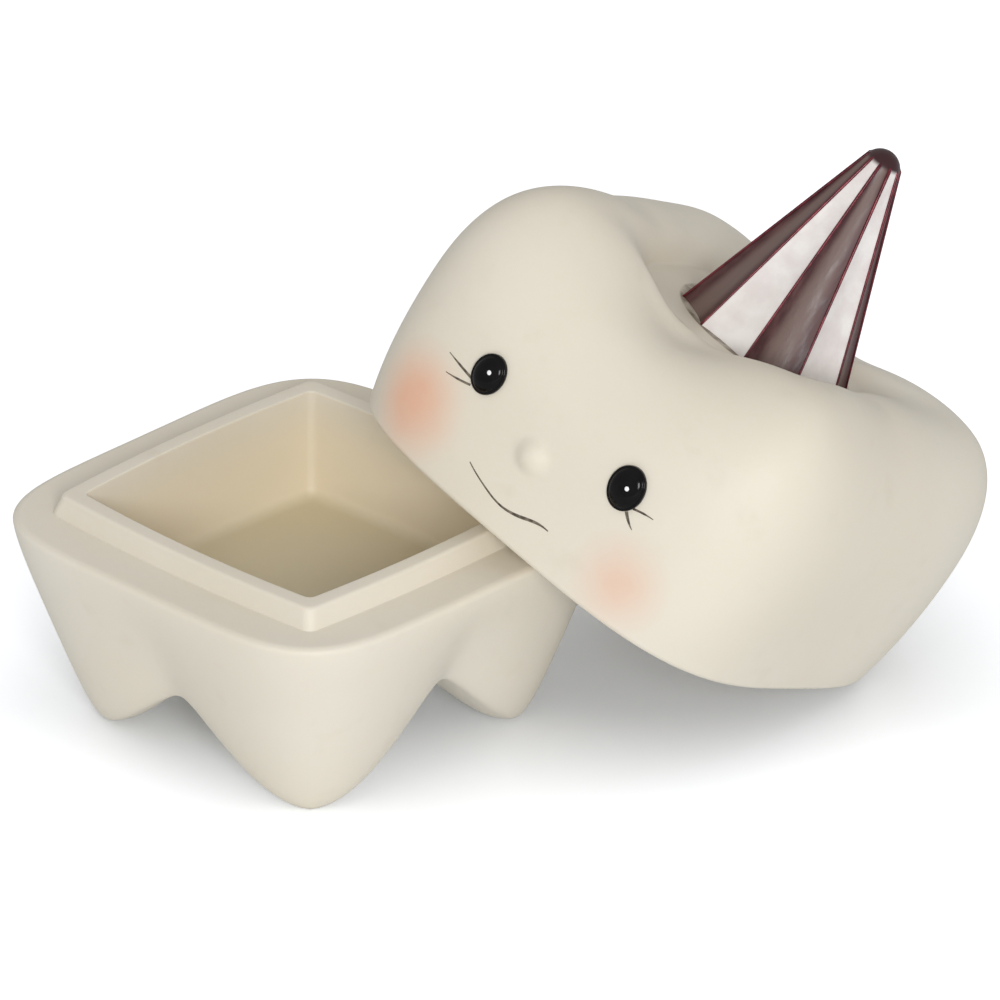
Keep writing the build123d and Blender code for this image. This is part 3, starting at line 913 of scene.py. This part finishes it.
PEARL_DULL = (0.72, 0.66, 0.64)
PEARL = (0.82, 0.79, 0.76)
BURGUNDY = (0.050, 0.011, 0.012)
TIP_BURGUNDY = (0.038, 0.008, 0.010)
BURGUNDY_WORN = (0.105, 0.042, 0.040)
# Painted sheen: the middle of each dark stripe is lighter
BURGUNDY_SHEEN = (0.180, 0.122, 0.106)
SHEEN_START = 0.35
SHEEN_STRENGTH = 0.8
TIP_PAINT_START = 0.99
TIP_PAINT_END = 1.015
STREAK_SCALE = 900
STREAK_STRETCH = 0.12
STREAK_DEPTH = 0.05
hat_paint, nodes, links, shader = material("hat_paint", 0.4, Specular_IOR_Level=0.42)
place = hat_coordinates(nodes, links)
split = nodes.new("ShaderNodeSeparateXYZ")
links.new(place, split.inputs[0])
turned = calculated(nodes, links, "ARCTAN2", split.outputs["Y"], split.outputs["X"])
phase = calculated(nodes, links, "MULTIPLY", turned, HAT_STRIPES / 2)
wave = calculated(nodes, links, "SINE", phase)
wave_hard = mapped(nodes, links, wave, -0.02, 0.02)
mottle = noise(nodes, links, place, 260, 5.0)
stretched = nodes.new("ShaderNodeMapping")
stretched.inputs["Scale"].default_value = (1, 1, STREAK_STRETCH)
links.new(place, stretched.inputs["Vector"])
streak = noise(nodes, links, stretched.outputs["Vector"], STREAK_SCALE, 4.0)
pearl = mixed(nodes, links, mapped(nodes, links, mottle, 0.3, 0.7), PEARL_DULL, PEARL)
worn = mapped(nodes, links, streak, 0.35, 0.75)
burgundy = mixed(nodes, links, worn, BURGUNDY, BURGUNDY_WORN)
# Painted sheen: the middle of each dark stripe is lighter, where the flute's gloss would catch the
# light
painted_sheen = mapped(nodes, links, wave, SHEEN_START, 1.0, 0.0, SHEEN_STRENGTH)
burgundy = mixed(nodes, links, painted_sheen, burgundy, BURGUNDY_SHEEN)
stripes = mixed(nodes, links, wave_hard, pearl, burgundy)
tip_start, tip_end = (shoulder_level * share * MM for share in (TIP_PAINT_START, TIP_PAINT_END))
at_tip = mapped(nodes, links, split.outputs["Z"], tip_start, tip_end)
links.new(mixed(nodes, links, at_tip, stripes, TIP_BURGUNDY), shader.inputs["Base Color"])
links.new(mapped(nodes, links, streak, 0.3, 0.7, 0.34, 0.5), shader.inputs["Roughness"])
bumped(nodes, links, shader, streak, STREAK_DEPTH * MM)
hat.data.materials.append(hat_paint)

RIDGE_RED = (0.075, 0.008, 0.014)
RIDGE_RED_PALE = (0.170, 0.020, 0.030)
ridge_paint = speckled(
    "ridge_paint", 0.3, (RIDGE_RED, RIDGE_RED_PALE),
    scale=700, detail=4.0, span=(0.35, 0.7), Metallic=0.35,
)


def tube(name, points, radii, sides=10):
    """A tube along points with a radius at each, closed at both ends."""
    rows, faces = [], []
    count = len(points)
    for i, point in enumerate(points):
        along = (points[min(i + 1, count - 1)] - points[max(i - 1, 0)]).normalized()
        first = along.orthogonal().normalized()
        second = along.cross(first)
        for j in range(sides):
            turn = 2 * pi * j / sides
            rows.append((point + (first * cos(turn) + second * sin(turn)) * radii[i]) * MM)
    for i in range(count - 1):
        for j in range(sides):
            after = (j + 1) % sides
            low, high = i * sides, (i + 1) * sides
            faces.append((low + j, low + after, high + after, high + j))
    faces.append(tuple(reversed(range(sides))))
    faces.append(tuple(range((count - 1) * sides, count * sides)))
    mesh = bpy.data.meshes.new(name)
    mesh.from_pydata([tuple(row) for row in rows], [], faces)
    mesh.polygons.foreach_set("use_smooth", [True] * len(mesh.polygons))
    piece = bpy.data.objects.new(name, mesh)
    bpy.context.scene.collection.objects.link(piece)
    return piece


ridges = []
for index in range(HAT_STRIPES):
    heading = 2 * pi * index / HAT_STRIPES
    out = Vector((cos(heading), sin(heading), 0))
    line = []
    for share in np.linspace(0.01, 1, 24):
        reach = HAT_RADIUS + (shoulder_reach - HAT_RADIUS) * share
        line.append(out * reach + Vector((0, 0, shoulder_level * share)))
    for turn in np.linspace(slant, pi / 2 * 0.8, 5)[1:]:
        sunk = HAT_TIP_RADIUS - RIDGE_RADIUS * RIDGE_GROWTH
        line.append(out * sunk * cos(turn) + Vector((0, 0, tip_level + sunk * sin(turn))))
    radii = np.linspace(RIDGE_RADIUS, RIDGE_RADIUS * RIDGE_GROWTH, len(line))
    ridge = seat(tube(f"hat_ridge_{index}", line, radii), hat_place)
    ridge.data.materials.append(ridge_paint)
    ridges.append(ridge)

# Every piece rides on its body and stands for its CAD node
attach(tray_skin, "tray")
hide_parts("tray")
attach(lid_skin, "lid")
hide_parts("lid")
for stroke in strokes:
    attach(stroke, "lid")
for eye, dot, node in ((left_eye, left_dot, "left_eye"), (right_eye, right_dot, "right_eye")):
    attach(eye, "lid")
    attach(dot, "lid")
    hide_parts(node)
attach(hat, "lid")
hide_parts("party_hat")
for ridge in ridges:
    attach(ridge, "lid")

# Floor and light: a soft light from beside the camera, in an evenly white world
KEY_TO_RIGHT = 150
KEY_UP = -120
KEY_DISTANCE = 1600
KEY_SIZE = 450
KEY_POWER = 12.3
KEY_AIM = Vector((0, 0, 30))
WORLD_STRENGTH = 0.60
FLOOR_SIZE = 6000
FLOOR_DROP = 0.02
FLOOR_WHITE = (0.905, 0.932, 0.968, 1)
FLOOR_WHITENING = 0.56
FLOOR_SHADE_REACH = 45
FLOOR_SHADE_POWER = 2.0
FRONT_WHITENING = 0.2
FRONT_START = 0
FRONT_END = 30
floor_mesh = bpy.data.meshes.new("floor")
half = FLOOR_SIZE / 2 * MM
corners = [(-half, -half, 0), (half, -half, 0), (half, half, 0), (-half, half, 0)]
floor_mesh.from_pydata(corners, [], [(0, 1, 2, 3)])
floor = bpy.data.objects.new("floor", floor_mesh)
bpy.context.scene.collection.objects.link(floor)
floor.location.z = -FLOOR_DROP * MM
floor_paint, nodes, links, shader = material("floor_white", 0.9, Specular_IOR_Level=0.0)
shader.inputs["Base Color"].default_value = FLOOR_WHITE
# The camera sees the open floor as white; the object's soft shadow stays, fainter in front
seen = nodes.new("ShaderNodeLightPath").outputs["Is Camera Ray"]
open_floor = nodes.new("ShaderNodeAmbientOcclusion")
open_floor.inputs["Distance"].default_value = FLOOR_SHADE_REACH * MM
openness = calculated(nodes, links, "POWER", open_floor.outputs["AO"], FLOOR_SHADE_POWER)
whitened = calculated(nodes, links, "MULTIPLY", openness, FLOOR_WHITENING)
forward = nodes.new("ShaderNodeVectorMath")
forward.operation = "DOT_PRODUCT"
links.new(object_coordinates(nodes), forward.inputs[0])
forward.inputs[1].default_value = (sin(azimuth), -cos(azimuth), 0)
front = forward.outputs["Value"]
front = mapped(nodes, links, front, FRONT_START * MM, FRONT_END * MM, 0.0, FRONT_WHITENING)
whitened = calculated(nodes, links, "ADD", whitened, front)
shader.inputs["Emission Color"].default_value = (1, 1, 1, 1)
links.new(calculated(nodes, links, "MULTIPLY", seen, whitened), shader.inputs["Emission Strength"])
floor_mesh.materials.append(floor_paint)

world = bpy.data.worlds.new("world")
bpy.context.scene.world = world
world.use_nodes = True
nodes, links = world.node_tree.nodes, world.node_tree.links
background = nodes["Background"]
path = nodes.new("ShaderNodeLightPath")
lit = nodes.new("ShaderNodeMix")
lit.data_type = "FLOAT"
lit.inputs[2].default_value = WORLD_STRENGTH
lit.inputs[3].default_value = 1.0
links.new(path.outputs["Is Camera Ray"], lit.inputs["Factor"])
links.new(lit.outputs[0], background.inputs["Strength"])
background.inputs["Color"].default_value = (1, 1, 1, 1)

key_place = camera_right * KEY_TO_RIGHT + camera_up * KEY_UP + look_back * KEY_DISTANCE
key_data = bpy.data.lights.new("key", "AREA")
key_data.shape = "SQUARE"
key_data.size = KEY_SIZE * MM
key_data.energy = KEY_POWER
key = bpy.data.objects.new("key", key_data)
bpy.context.scene.collection.objects.link(key)
key.location = key_place * MM
key.rotation_euler = (KEY_AIM - key_place).to_track_quat("-Z", "Y").to_euler()

bpy.context.scene.view_settings.view_transform = "Standard"
